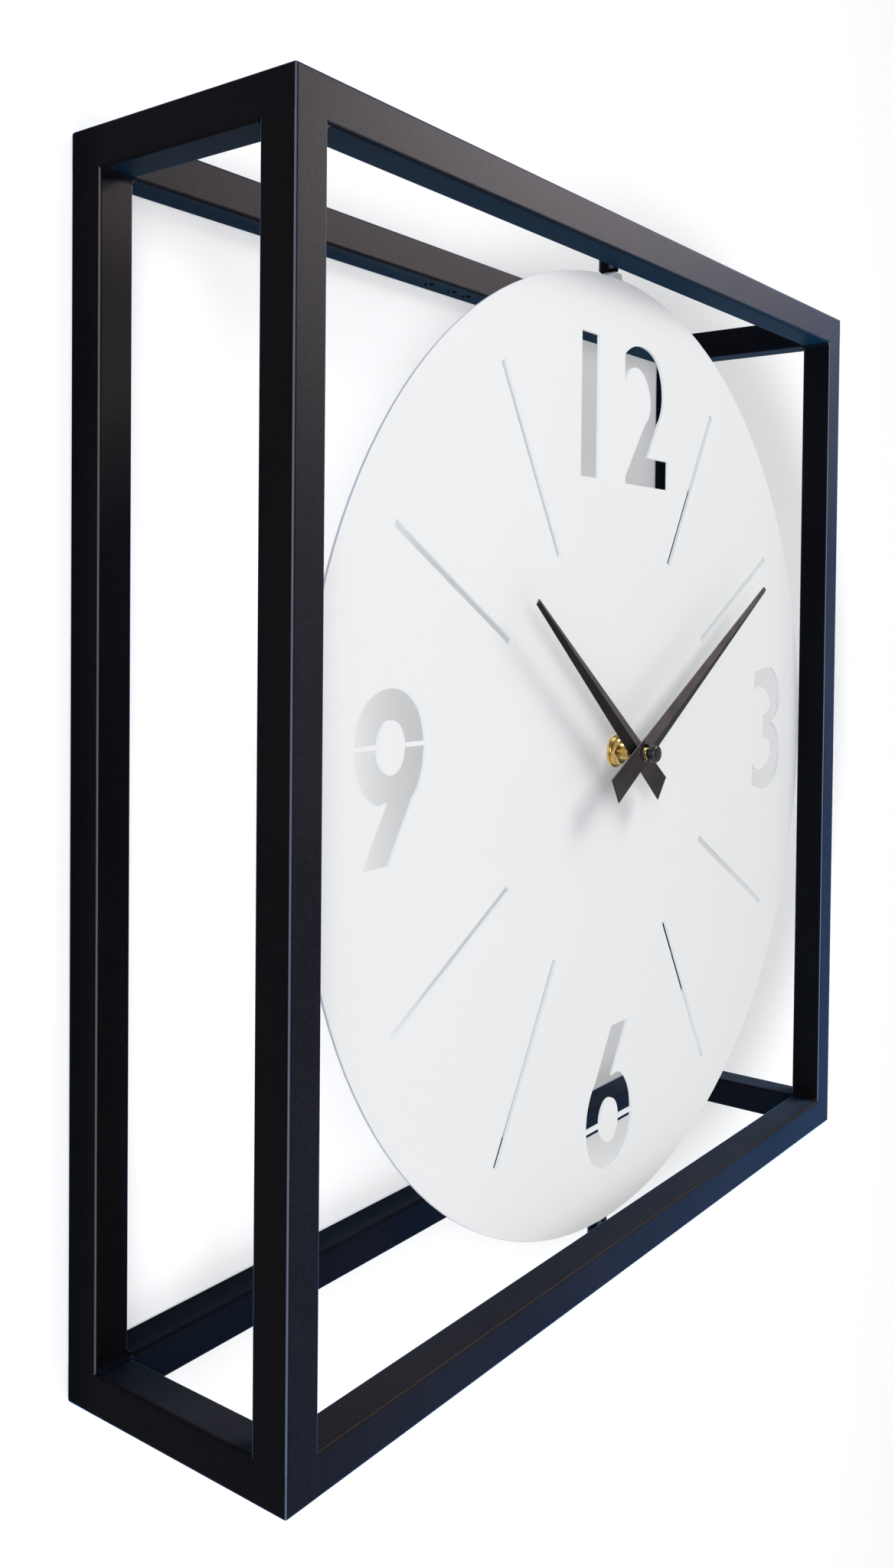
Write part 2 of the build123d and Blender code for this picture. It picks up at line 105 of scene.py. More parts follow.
WHITE_WALL = (0.945, 0.945, 0.95)
PAINTED_SHADOW_GREY = (0.64, 0.64, 0.645)
STEEL = (0.62, 0.62, 0.63)
PAINTED_EDGE_HIGHLIGHT = (0.15, 0.14, 0.16)
PAINTED_RIM_SHADE = (0.44, 0.46, 0.56)
GROUND_BLUE = (0.05, 0.40, 0.85)
SKY_BLUE = (0.10, 0.40, 0.85)


# ---------------------------------------------------------------- settings

class ClockSizes(bpy.types.PropertyGroup):
    """Sizes of the small parts that are modelled here."""

    thread_pitch: bpy.props.FloatProperty(
        name="Thread pitch", description="Pitch of the thread on the brass bush", default=0.75 * MM, unit="LENGTH")
    weld_radius: bpy.props.FloatProperty(
        name="Weld radius", description="Radius of the ground welds in the window corners", default=2.6 * MM,
        unit="LENGTH")
    cap_dome: bpy.props.FloatProperty(
        name="Cap dome", description="Height of the dome on the cap", default=0.36 * MM, unit="LENGTH")
    hand_width: bpy.props.FloatProperty(
        name="Hand width", description="Width of a hand at its tail", default=13.2 * MM, unit="LENGTH")
    hand_tail: bpy.props.FloatProperty(
        name="Hand tail", description="Length of a hand's tail from the axis", default=31.7 * MM, unit="LENGTH")
    tip_width: bpy.props.FloatProperty(
        name="Tip width", description="Width of a hand at its tip", default=3.0 * MM, unit="LENGTH")
    hand_ridge: bpy.props.FloatProperty(
        name="Hand ridge", description="Height of the ridge above the blade's edges", default=1.6 * MM,
        unit="LENGTH")


class ClockFinishes(bpy.types.PropertyGroup):
    """Colours of the painted, plated and moulded parts."""

    frame_paint: bpy.props.FloatVectorProperty(
        name="Frame", description="Powder coat of the frame", default=(0.0040, 0.0033, 0.0036), subtype="COLOR")
    dial_paint: bpy.props.FloatVectorProperty(
        name="Dial", description="Satin paint of the dial", default=(0.86, 0.865, 0.875), subtype="COLOR")
    dial_edge: bpy.props.FloatVectorProperty(
        name="Dial edge", description="Back edges of the dial's cut-outs", default=(0.50, 0.66, 0.66),
        subtype="COLOR")
    hand_paint: bpy.props.FloatVectorProperty(
        name="Hands", description="Satin paint of the hands", default=(0.0095, 0.0082, 0.0088), subtype="COLOR")
    brass: bpy.props.FloatVectorProperty(
        name="Brass", description="Turned brass", default=(0.82, 0.62, 0.26), subtype="COLOR")
    acetal: bpy.props.FloatVectorProperty(
        name="Acetal", description="Moulded wheels and plates", default=(0.80, 0.78, 0.70), subtype="COLOR")
    case: bpy.props.FloatVectorProperty(
        name="Case", description="Moulded case of the movement", default=(0.012, 0.012, 0.013), subtype="COLOR")


# ---------------------------------------------------------------- shader maths

class Wire:
    """An output socket whose arithmetic adds Math nodes to its material."""

    def __init__(self, finish, socket):
        self.finish = finish
        self.socket = socket

    def math(self, operation, *others, first=None):
        terms = (self, *others) if first is None else (first, self)
        return self.finish.add("ShaderNodeMath", {"operation": operation}, dict(enumerate(terms)))

    def __add__(self, other):
        return self.math("ADD", other)

    def __radd__(self, other):
        return self.math("ADD", first=other)

    def __sub__(self, other):
        return self.math("SUBTRACT", other)

    def __rsub__(self, other):
        return self.math("SUBTRACT", first=other)

    def __mul__(self, other):
        if isinstance(other, Vector):
            return self.finish.add("ShaderNodeVectorMath", {"operation": "MULTIPLY"}, {0: self, 1: other})
        return self.math("MULTIPLY", other)

    def __rmul__(self, other):
        return self.math("MULTIPLY", first=other)

    def __gt__(self, other):
        return self.math("GREATER_THAN", other)

    def __lt__(self, other):
        return self.math("LESS_THAN", other)

    def within(self, low, high):
        """Runs from 0 at low to 1 at high."""
        return self.finish.add(
            "ShaderNodeMapRange", {"interpolation_type": "SMOOTHSTEP"}, {0: self, 1: low, 2: high, 3: 0.0, 4: 1.0})


class Finish:
    """A material on one Principled shader, with patterns read from Object coordinates."""

    def __init__(self, name, **shader):
        self.material = bpy.data.materials.new(name)
        self.material.use_nodes = True
        self.tree = self.material.node_tree
        self.shader = self.tree.nodes["Principled BSDF"]
        self.coordinates = self.tree.nodes.new("ShaderNodeTexCoord")
        self.place = Wire(self, self.coordinates.outputs["Object"])
        for socket, value in shader.items():
            self.set(socket.replace("_", " "), value)

    def set(self, socket, value):
        """A number or colour goes on the shader's own socket; a wire is linked to it."""
        target = self.shader.inputs[socket]
        if isinstance(value, Wire):
            self.tree.links.new(value.socket, target)
        elif hasattr(value, "__len__"):
            target.default_value = (*tuple(value)[:3], 1.0)
        else:
            target.default_value = value

    def add(self, kind, settings=None, inputs=None, output=0):
        node = self.tree.nodes.new(kind)
        for key, value in (settings or {}).items():
            setattr(node, key, value)
        for key, value in (inputs or {}).items():
            if isinstance(value, Wire):
                self.tree.links.new(value.socket, node.inputs[key])
            else:
                node.inputs[key].default_value = value
        return Wire(self, node.outputs[output])

    def noise(self, scale, detail=3.0, roughness=0.55, place=None):
        return self.add(
            "ShaderNodeTexNoise", {}, {"Vector": place or self.place, "Scale": scale, "Detail": detail,
                                       "Roughness": roughness})

    def axis(self, letter, source=None):
        return self.add("ShaderNodeSeparateXYZ", {}, {0: source or self.place}, "XYZ".index(letter))

    def normal(self, letter):
        """How squarely the surface faces along an axis, from 0 to 1."""
        return self.axis(letter, Wire(self, self.coordinates.outputs["Normal"])).math("ABSOLUTE")

    def distance(self, place, middle):
        return self.add("ShaderNodeVectorMath", {"operation": "DISTANCE"}, {0: place, 1: tuple(middle)}, 1)

    def from_axis(self):
        """Distance from the axis of the hands, at any depth."""
        return self.distance(self.place * Vector((1, 0, 1)), (AXIS.x, 0, AXIS.z))

    def mix(self, factor, first, second):
        def padded(colour):
            return colour if isinstance(colour, Wire) else (*tuple(colour)[:3], 1.0)

        return self.add(
            "ShaderNodeMix", {"data_type": "RGBA"}, {0: factor, 6: padded(first), 7: padded(second)}, 2)

    def bump(self, height, strength, depth):
        self.set("Normal", self.add(
            "ShaderNodeBump", {}, {"Height": height, "Strength": strength, "Distance": depth}))

    def stretched(self, x, y, z):
        return self.add("ShaderNodeMapping", {}, {"Vector": self.place, "Scale": (x, y, z)})


def tint(colour, factor):
    return tuple(channel * factor for channel in tuple(colour)[:3])


def powder_coat(name, colour, highlight_strength):
    """Fine-grained satin powder coat: close pimples, a slow change of tone, and a painted highlight that makes
    upright edges paler.
    """
    finish = Finish(name, Metallic=0.0)
    grain = finish.noise(1100.0, 3.0, 0.7)
    swell = finish.noise(260.0, 2.0, 0.5)
    tone = finish.noise(9.0, 3.0, 0.6)
    speckle = finish.noise(2200.0, 1.0, 0.5).within(0.58, 0.72)
    # Painted highlight: upright rounded edges get a paler base colour that stands in for the gloss line along them.
    squarely = finish.normal("X").math("MAXIMUM", finish.normal("Y")).within(0.74, 0.93)
    edge = (1 - squarely) * (1 - finish.normal("Z").within(0.1, 0.3))
    base = finish.mix(tone.within(0.3, 0.7), tint(colour, 0.82), tint(colour, 1.18))
    coat = finish.mix(speckle * 0.5, base, tint(colour, 3.6))
    finish.set("Base Color", finish.mix(edge * highlight_strength, coat, PAINTED_EDGE_HIGHLIGHT))
    finish.set("Roughness", 0.40 + grain * 0.10 + tone * 0.05)
    finish.set("Specular IOR Level", 0.008)
    finish.set("Sheen Weight", 0.50)
    finish.set("Sheen Roughness", 0.28)
    finish.set("Sheen Tint", (0.01, 0.22, 0.50))
    finish.bump(grain * 0.8 + swell * 0.3, 0.55, 0.16 * MM)
    return finish.material


def dial_enamel(face, edge):
    """Satin white paint with a slight orange peel; the cut walls turn cooler towards the back, and painted shade
    darkens them at the outer edge.
    """
    finish = Finish("dial paint", Metallic=0.0)
    cut = 1 - finish.normal("Y").within(0.35, 0.5)
    peel = finish.noise(420.0, 2.0, 0.5)
    tone = finish.noise(5.0, 2.0, 0.5)
    sheet = finish.mix(tone.within(0.35, 0.65), tint(face, 0.985), face)
    outer = (DIAL_HIGH.x - DIAL_LOW.x) / 2
    # Painted shade: the cut walls and chamfer at the dial's outer edge are painted a darker blue-grey.
    rim = finish.from_axis().within(outer - 0.8 * MM, outer - 0.2 * MM)
    depth = finish.axis("Y") - DIAL_FACE
    wall = finish.mix(depth.within(1.0 * MM, 1.4 * MM), tint(face, 0.97), edge)
    finish.set("Base Color", finish.mix(cut, sheet, finish.mix(rim, wall, PAINTED_RIM_SHADE)))
    finish.set("Roughness", 0.30 + peel * 0.06 + cut * 0.2)
    finish.set("Coat Weight", 0.12)
    finish.set("Coat Roughness", 0.18)
    finish.bump(peel, 0.05, 0.05 * MM)
    return finish.material


def hand_enamel(colour):
    """Satin paint, with painted shade darkening the sunken spot round the hub, which is also duller."""
    finish = Finish("hand paint", Metallic=0.0)
    grain = finish.noise(2600.0, 2.0, 0.6)
    tone = finish.noise(60.0, 2.0, 0.5)
    # Painted shade: the sunken spot round the hub is painted near black where shade falls in it.
    spot = 1 - finish.from_axis().within(4.0 * MM, 4.6 * MM)
    paint = finish.mix(tone.within(0.35, 0.65), tint(colour, 0.85), tint(colour, 1.25))
    finish.set("Base Color", finish.mix(spot, paint, tint(colour, 0.2)))
    finish.set("Roughness", 0.34 + grain * 0.10 + spot * 0.3)
    finish.set("Specular IOR Level", 0.12)
    finish.bump(grain, 0.16, 0.04 * MM)
    return finish.material


def turned_metal(name, colour, roughness, lay=9000.0):
    """Metal off the lathe: fine rings along the clock's axis, with a slow change in tone."""
    finish = Finish(name, Metallic=1.0)
    rings = finish.noise(1.0, 2.0, 0.5, finish.stretched(60.0, lay, 60.0))
    tone = finish.noise(190.0, 3.0, 0.5)
    finish.set("Base Color", finish.mix(tone.within(0.3, 0.7), tint(colour, 0.86), colour))
    finish.set("Roughness", roughness + rings * 0.12 + tone * 0.05)
    finish.bump(rings, 0.10, 0.02 * MM)
    return finish.material


def moulded(name, colour, roughness, texture, depth):
    """Moulded plastic with a spark-eroded texture of the given scale."""
    finish = Finish(name, Metallic=0.0)
    spark = finish.noise(texture, 2.0, 0.6)
    tone = finish.noise(35.0, 2.0, 0.5)
    finish.set("Base Color", finish.mix(tone.within(0.3, 0.7), tint(colour, 0.9), tint(colour, 1.08)))
    finish.set("Roughness", roughness + spark * 0.12)
    finish.bump(spark, 0.3, depth)
    return finish.material


def battery_sleeve(low, high):
    """Plain shrink sleeve: dark body, copper band at the positive end, bare steel at both ends."""
    finish = Finish("battery sleeve")
    along = (finish.axis("X") - low.x) * (1 / (high.x - low.x))
    band = along > 0.74
    bare = (along > 0.965).math("MAXIMUM", along < 0.015)
    wrinkle = finish.noise(130.0, 2.0, 0.5)
    sleeve = finish.mix(band, (0.020, 0.022, 0.026), (0.56, 0.25, 0.10))
    finish.set("Base Color", finish.mix(bare, sleeve, STEEL))
    finish.set("Metallic", (band * 0.75).math("MAXIMUM", bare))
    finish.set("Roughness", 0.24 + wrinkle * 0.10)
    finish.bump(wrinkle, 0.06, 0.1 * MM)
    return finish.material


def copper_winding():
    """Enamelled wire, wound close along X."""
    finish = Finish("copper winding", Metallic=1.0)
    wire = finish.add(
        "ShaderNodeTexWave", {"wave_type": "BANDS", "bands_direction": "X"},
        {"Vector": finish.place, "Scale": 2200.0, "Distortion": 0.6, "Detail": 1.0})
    finish.set("Base Color", finish.mix(wire, (0.30, 0.10, 0.04), (0.80, 0.36, 0.16)))
    finish.set("Roughness", 0.25 + wire * 0.1)
    finish.bump(wire, 0.5, 0.05 * MM)
    return finish.material


def solder_mask():
    """Green board with paler copper tracks under the mask."""
    finish = Finish("solder mask", Metallic=0.0)
    tracks = finish.add(
        "ShaderNodeTexVoronoi", {"feature": "DISTANCE_TO_EDGE", "distance": "MANHATTAN"},
        {"Vector": finish.place, "Scale": 420.0})
    finish.set("Base Color", finish.mix(tracks.within(0.03, 0.10), (0.10, 0.34, 0.13), (0.02, 0.13, 0.05)))
    finish.set("Roughness", 0.28 + tracks * 0.1)
    finish.bump(tracks.within(0.03, 0.10), 0.2, 0.03 * MM)
    return finish.material


def wall_paint():
    """Matt white wall with a painted shadow behind and right of the clock; it is seen from the room only, and
    doesn't shade what touches it.
    """
    finish = Finish("wall paint", Roughness=0.9)
    # Painted shadow: a soft grey patch on the wall behind and right of the clock stands in for the shadow seen
    # through the dial's cut-outs.
    from_painted_shadow = finish.distance(finish.place, (0.25, 0.0, AXIS.z))
    roller = finish.noise(40.0)
    finish.set("Base Color", finish.mix(
        from_painted_shadow.within(0.27, 0.37) * 0.97 + roller * 0.03, PAINTED_SHADOW_GREY, WHITE_WALL))
    behind = finish.add("ShaderNodeNewGeometry", output="Backfacing")
    touching = finish.add("ShaderNodeLightPath", output="Ray Length") < 20 * MM
    clear = finish.add("ShaderNodeBsdfTransparent")
    paint = Wire(finish, finish.shader.outputs[0])
    either = finish.add("ShaderNodeMixShader", {}, {0: behind.math("MAXIMUM", touching), 1: paint, 2: clear})
    finish.tree.links.new(either.socket, finish.tree.nodes["Material Output"].inputs["Surface"])
    return finish.material


def floor_paint():
    """Matt pale floor, a little mottled."""
    finish = Finish("floor paint", Roughness=0.75)
    finish.set("Base Color", finish.mix(finish.noise(18.0), (0.88, 0.88, 0.885), (0.905, 0.905, 0.91)))
    return finish.material


# ---------------------------------------------------------------- modelling

def clear_selection():
    if bpy.context.object and bpy.context.object.mode != "OBJECT":
        bpy.ops.object.mode_set(mode="OBJECT")
    bpy.ops.object.select_all(action="DESELECT")


def edit(piece):
    """Edit mode on one piece's vertices, with nothing selected."""
    take([piece])
    bpy.ops.object.mode_set(mode="EDIT")
    bpy.ops.mesh.select_mode(type="VERT")
    bpy.ops.mesh.select_all(action="DESELECT")


def pick(piece, test):
    """Selects the vertices whose place passes the test, and leaves the rest as they are."""
    bpy.ops.object.mode_set(mode="OBJECT")
    for vertex in piece.data.vertices:
        vertex.select = vertex.select or test(vertex.co)
    bpy.ops.object.mode_set(mode="EDIT")


def done(piece):
    """Outward faces, no doubles, place in the mesh."""
    bpy.ops.mesh.select_all(action="SELECT")
    bpy.ops.mesh.remove_doubles(threshold=1e-6)
    bpy.ops.mesh.normals_make_consistent(inside=False)
    bpy.ops.object.mode_set(mode="OBJECT")
    bpy.ops.object.transform_apply(location=True, rotation=True, scale=True)


def take(pieces):
    """Selects only these pieces, and makes the first one active."""
    clear_selection()
    for piece in pieces:
        piece.select_set(True)
    bpy.context.view_layer.objects.active = pieces[0]


def modify(piece, kind, **settings):
    take([piece])
    modifier = piece.modifiers.new(kind.title(), kind)
    for key, value in settings.items():
        setattr(modifier, key, value)
    bpy.ops.object.modifier_apply(modifier=modifier.name)


def soften(piece, angle):
    take([piece])
    bpy.ops.object.shade_smooth_by_angle(angle=radians(angle))


def hand_over(piece, name, body, finish, slot, *nodes):
    """Names a finished piece, paints it and gives it to its body."""
    piece.name = name
    piece.data.name = name
    piece.data.materials.clear()
    piece.data.materials.append(finish)
    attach(piece, body)
    if nodes:
        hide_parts(*nodes)


def merged(pieces):
    take(pieces)
    bpy.ops.object.join()
    return pieces[0]


def turned(profile, axis=AXIS, steps=64):
    """Spins a profile of (radius, depth) points about an axis that runs front to back."""
    clear_selection()
    bpy.ops.mesh.primitive_plane_add(size=1 * MM, location=axis)
    piece = bpy.context.object
    edit(piece)
    bpy.ops.mesh.select_all(action="SELECT")
    bpy.ops.mesh.merge(type="CENTER")
    bpy.ops.transform.translate(value=Vector((profile[0][0], profile[0][1], 0)) * MM)
    for here, there in zip(profile, profile[1:]):
        step = Vector((there[0] - here[0], there[1] - here[1], 0)) * MM
        bpy.ops.mesh.extrude_vertices_move(TRANSFORM_OT_translate={"value": step})
    bpy.ops.mesh.select_all(action="SELECT")
    bpy.ops.mesh.spin(steps=steps, angle=2 * pi, center=axis, axis=(0, 1, 0))
    done(piece)
    return piece


def arc(radius, depth, size, start, stop, steps=6):
    """Points of a quarter or other arc about (radius, depth); 0 points outwards and 90 to the wall."""
    turns = [radians(start + (stop - start) * n / steps) for n in range(steps + 1)]
    return [(radius + size * cos(turn), depth + size * sin(turn)) for turn in turns]


# ---------------------------------------------------------------- pieces

def thread(radius, depth_front, depth_back, pitch):
    """Profile of a thread, from front to back."""
    groove = 0.55 * pitch
    points = []
    depth = depth_front
    while depth + pitch <= depth_back:
        points += [(radius, depth + 0.06 * pitch), (radius - groove, depth + 0.44 * pitch),
                   (radius - groove, depth + 0.56 * pitch), (radius, depth + 0.94 * pitch)]
        depth += pitch
    return points


def baton(length, angle, depth, sizes, bore):
    """Pressed hand: a flat tail, a blade with a centre ridge, and a round sunken spot at the hub."""
    thickness = 0.5 * MM
    tail_end, blade_start = 1.9, 2.6
    spot_depth, spot_radius, spot_corner = 0.22, 4.3, 0.5
    clear_selection()
    bpy.ops.mesh.primitive_plane_add(size=2 * MM, location=AXIS, rotation=(pi / 2, 0, 0))
    piece = bpy.context.object
    edit(piece)
    bpy.ops.mesh.select_all(action="SELECT")
    span = length + sizes.hand_tail / MM
    bpy.ops.transform.resize(value=(sizes.hand_width / MM / 2, 1, span / 2), center_override=AXIS)
    bpy.ops.transform.translate(value=(0, depth * MM, (length - sizes.hand_tail / MM) / 2 * MM))
    bpy.ops.mesh.select_all(action="DESELECT")
    pick(piece, lambda co: co.y > 0)
    bpy.ops.transform.resize(value=(sizes.tip_width / sizes.hand_width, 1, 1), center_override=AXIS)
    for height, normal in ((0, (1, 0, 0)), (tail_end, (0, 0, 1)), (blade_start, (0, 0, 1))):
        bpy.ops.mesh.select_all(action="SELECT")
        bpy.ops.mesh.bisect(plane_co=AXIS + Vector((0, 0, height * MM)), plane_no=normal)
    bpy.ops.mesh.select_all(action="SELECT")
    bpy.ops.mesh.extrude_region_move(TRANSFORM_OT_translate={"value": (0, -thickness, 0)})
    front = thickness / 2 - depth * MM
    for start, lift in ((2.5, -sizes.hand_ridge), (20, 0.5 * sizes.hand_ridge)):
        bpy.ops.mesh.select_all(action="DESELECT")
        pick(piece, lambda co: abs(co.x) < 1e-6 and co.y > start * MM and co.z > front)
        bpy.ops.transform.translate(value=(0, lift, 0))
    done(piece)
    floor = depth - spot_depth
    cutter = turned([(0, floor), *arc(spot_radius - spot_corner, floor - spot_corner, spot_corner, 90, 0),
                     (4.9, floor - 4), (0, floor - 4)])
    hole = turned([(0, depth + 1), (bore, depth + 1), (bore, depth - 3), (0, depth - 3)], steps=32)
    for tool in (cutter, hole):
        modify(piece, "BOOLEAN", object=tool, operation="DIFFERENCE", solver="EXACT")
        bpy.data.objects.remove(tool)
    modify(piece, "BEVEL", width=0.09 * MM, segments=2, limit_method="ANGLE", angle_limit=radians(20))
    edit(piece)
    bpy.ops.mesh.select_all(action="SELECT")
    bpy.ops.transform.rotate(value=-radians(angle), orient_axis="Y", center_override=AXIS)
    done(piece)
    soften(piece, 18)
    return piece


class CLOCK_OT_hands(bpy.types.Operator):
    """Press the hour and minute hands from sheet, with ridge, tail and hub spot"""
    bl_idname = "clock.hands"
    bl_label = "Hands"

    def execute(self, context):
        sizes = context.scene.clock_sizes
        finish = hand_enamel(context.scene.clock_finishes.hand_paint)
        for body, length, angle, depth, bore in (
                ("hour", 116.0, 308.0, HOUR_HAND_DEPTH, HOUR_BORE),
                ("minute", 161.0, 59.4, MINUTE_HAND_DEPTH, MINUTE_BORE)):
            piece = baton(length, angle, depth, sizes, bore)
            hand_over(piece, body + "_hand_pressed", body, finish, "hand_black", body + "_hand")
        return {"FINISHED"}


class CLOCK_OT_hub(bpy.types.Operator):
    """Turn the brass bush, its hexagon nut and the small collars, and the cap in front"""
    bl_idname = "clock.hub"
    bl_label = "Hub"

    def execute(self, context):
        sizes = context.scene.clock_sizes
        finishes = context.scene.clock_finishes
        brass = turned_metal("turned brass", finishes.brass, 0.16)
        self.bush(sizes, brass)
        self.nut(brass)
        # The knurled shoulders get a copy of the brass painted 15% paler, painted light that lifts them out of the
        # shade between the hands.
        self.collars(brass, tint(finishes.brass, 1.15))
        self.cap(sizes, finishes)
        return {"FINISHED"}

    def bush(self, sizes, finish):
        bore = 2.35
        ridges = thread(BUSH_RADIUS, -9.1, 3.4, sizes.thread_pitch / MM)
        profile = [(bore, -9.5), (3.4, -9.5), *ridges, (BUSH_RADIUS, 4.55), (5.6, 4.6), (5.6, BUSH_BACK),
                   (bore, BUSH_BACK), (bore, -9.5)]
        piece = turned(profile, steps=72)
        soften(piece, 30)
        hand_over(piece, "bush_thread", "dial", finish, "brass", "threaded_bush")

    def nut(self, finish):
        flat = 6.0
        corner = flat / cos(pi / 6)
        bore = BUSH_RADIUS + CLEARANCE
        body = turned([(bore, -4.2), (5.75, -4.2), (corner, -3.55), (corner, -1.55), (bore, -1.55), (bore, -4.2)],
                      steps=96)
        for turn in range(6):
            angle = turn * pi / 3 + pi / 2
            outward = Vector((cos(angle), 0, sin(angle)))
            edit(body)
            bpy.ops.mesh.select_all(action="SELECT")
            bpy.ops.mesh.bisect(
                plane_co=AXIS + outward * flat * MM, plane_no=outward, use_fill=True, clear_outer=True)
            done(body)
        skirt = turned([(bore, -1.6), (5.9, -1.6), *arc(6.55, -1.15, 0.35, -80, 80), (bore, -0.8), (bore, -1.6)])
        piece = merged([body, skirt])
        modify(piece, "BEVEL", width=0.07 * MM, segments=2, limit_method="ANGLE", angle_limit=radians(25))
        soften(piece, 25)
        hand_over(piece, "hexagon_nut", "dial", finish, "brass", "flange_nut")

    def collars(self, finish, knurl_highlight_colour):
        bore = MINUTE_BORE + CLEARANCE
        front = turned([(bore, -16.7), (2.75, -16.7), (2.9, -16.85), (2.9, -18.15), *arc(2.65, -18.15, 0.25, 0, -90),
                        (2.1, -18.4), (1.9, -18.2), (1.9, -17.3), (bore, -17.3), (bore, -16.7)])
        soften(front, 30)
        hand_over(front, "minute_collar_nut", "minute", finish, "brass", "minute_nut")
        self.shoulder("hour", HOUR_BORE + CLEARANCE, -12.66, -13.6, knurl_highlight_colour)
        self.shoulder("minute", bore, -13.72, -15.45, knurl_highlight_colour)

    def shoulder(self, body, bore, back, front, colour):
        """Knurled collar that carries a hand."""
        rim, radius, bevel, steps = 2.65, 2.85, 0.2, 72
        knurled = turned([(bore, back), (rim, back), (radius, back - bevel), (radius, front + bevel), (rim, front),
                          (bore, front), (bore, back)], steps=steps)
        edit(knurled)
        pick(knurled, lambda co: (co - AXIS).xz.length > 2.7 * MM
             and round((co - AXIS).xz.angle_signed(Vector((1, 0))) / (2 * pi / steps)) % 4 < 2)
        bpy.ops.transform.resize(value=(0.88, 1, 0.88), center_override=AXIS)
        done(knurled)
        soften(knurled, 20)
        # The paler brass here is painted light, not a different alloy.
        hand_over(knurled, body + "_shoulder", body, turned_metal(body + " knurl", colour, 0.42), "brass")

    def cap(self, sizes, finishes):
        shoulder, roundness = 3.2, 1.75
        dome = sizes.cap_dome / MM
        crown = [(radius, CAP_FRONT + dome * (radius / shoulder) ** 2) for radius in (2.4, 1.6, 0.8, 0)]
        profile = [(0, -18.75), (1.5, -18.75), (1.6, -18.85), (1.6, -19.35), (3.9, -19.45), (4.2, -19.6),
                   (4.33, -20.0), (4.35, -20.5), *arc(2.6, CAP_FRONT + dome + 1.64, roundness, 10, -70, 8), *crown]
        piece = turned(profile)
        soften(piece, 40)
        finish = moulded("cap plastic", finishes.case, 0.26, 900.0, 0.015 * MM)
        hand_over(piece, "seconds_cap_domed", "seconds", finish, "cap_black", "seconds_cap")


class CLOCK_OT_welds(bpy.types.Operator):
    """Fill the inner corners of the frame's windows with ground welds, and dress its outer corners"""
    bl_idname = "clock.welds"
    bl_label = "Corner welds"

    def execute(self, context):
        size = context.scene.clock_sizes.weld_radius
        pattern = self.fillet(size, TUBE - 1.6 * MM)
        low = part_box("front_left_post")[0]
        high = Vector((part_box("front_right_post")[1].x, 0.0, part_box("front_top_rail")[1].z))
        middle = (low + high) / 2
        reach = (high - low) / 2 - Vector((TUBE, TUBE, TUBE)) / 2
        welds = []
        for corner in range(8):
            inward = Vector([1 if corner >> axis & 1 else -1 for axis in range(3)])
            centre = middle - Vector([inward[axis] * reach[axis] for axis in range(3)])
            for across in range(3):
                first, second = (axis for axis in range(3) if axis != across)
                weld = pattern.copy()
                weld.data = pattern.data.copy()
                context.scene.collection.objects.link(weld)
                columns = Matrix.Identity(3)
                place = centre.copy()
                for row, axis in enumerate((first, second)):
                    columns.col[row] = Vector([inward[axis] if n == axis else 0 for n in range(3)])
                    place[axis] += inward[axis] * TUBE / 2
                columns.col[2] = Vector([1 if n == across else 0 for n in range(3)])
                weld.matrix_world = Matrix.Translation(place) @ columns.to_4x4()
                welds.append(weld)
        bpy.data.objects.remove(pattern)
        take(welds)
        bpy.ops.object.transform_apply(location=True, rotation=True, scale=True)
        # The welds' coat has no painted edge highlight.
        plain = powder_coat("weld coat", context.scene.clock_finishes.frame_paint, 0.0)
        coat = bpy.data.materials["powder coat"]
        for name, parts, finish in (("corner_welds", welds, plain), ("corner_blocks", self.corners(), coat)):
            piece = merged(parts)
            edit(piece)
            bpy.ops.mesh.select_all(action="SELECT")
            bpy.ops.mesh.normals_make_consistent(inside=False)
            clear_selection()
            soften(piece, 30)
            modify(piece, "WEIGHTED_NORMAL", keep_sharp=True, weight=100)
            hand_over(piece, name, "frame", finish, "frame_black")
        return {"FINISHED"}

    def corners(self):
        """Dressed corner blocks, where a side rail and two mitred members meet; they hide the butt welds."""
        blocks = []
        overlap, proud, rounding = 1.7 * MM, 0.04 * MM, 1.4 * MM
        for rail in ("top_left", "top_right", "bottom_left", "bottom_right"):
            low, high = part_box(rail + "_side_rail")
            for seam, outwards in ((low.y, -1), (high.y, 1)):
                middle = (low + high) / 2
                middle.y = seam + outwards * (TUBE - overlap) / 2
                clear_selection()
                bpy.ops.mesh.primitive_cube_add(size=TUBE + proud, location=middle)
                block = bpy.context.object
                edit(block)
                bpy.ops.mesh.select_all(action="SELECT")
                bpy.ops.transform.resize(value=(1, (TUBE + overlap) / TUBE, 1), center_override=middle)
                bpy.ops.mesh.bevel(offset=rounding, segments=5)
                done(block)
                blocks.append(block)
        return blocks

    def fillet(self, size, length):
        """Prism along Z with a hollow face, its square corner on the Z axis."""
        clear_selection()
        bpy.ops.mesh.primitive_plane_add(size=MM, location=(0, 0, -length / 2))
        piece = bpy.context.object
        edit(piece)
        bpy.ops.mesh.select_all(action="SELECT")
        bpy.ops.mesh.merge(type="CENTER")
        outline = [Vector((0, 0)), Vector((size, 0))]
        outline += [Vector((size - size * sin(n * pi / 12), size - size * cos(n * pi / 12))) for n in range(1, 6)]
        outline += [Vector((0, size)), Vector((0, 0))]
        for here, there in zip(outline, outline[1:]):
            bpy.ops.mesh.extrude_vertices_move(TRANSFORM_OT_translate={"value": (there - here).to_3d()})
        bpy.ops.mesh.select_all(action="SELECT")
        bpy.ops.mesh.remove_doubles(threshold=1e-6)
        bpy.ops.mesh.edge_face_add()
        bpy.ops.mesh.extrude_region_move(TRANSFORM_OT_translate={"value": (0, 0, length)})
        done(piece)
        return piece


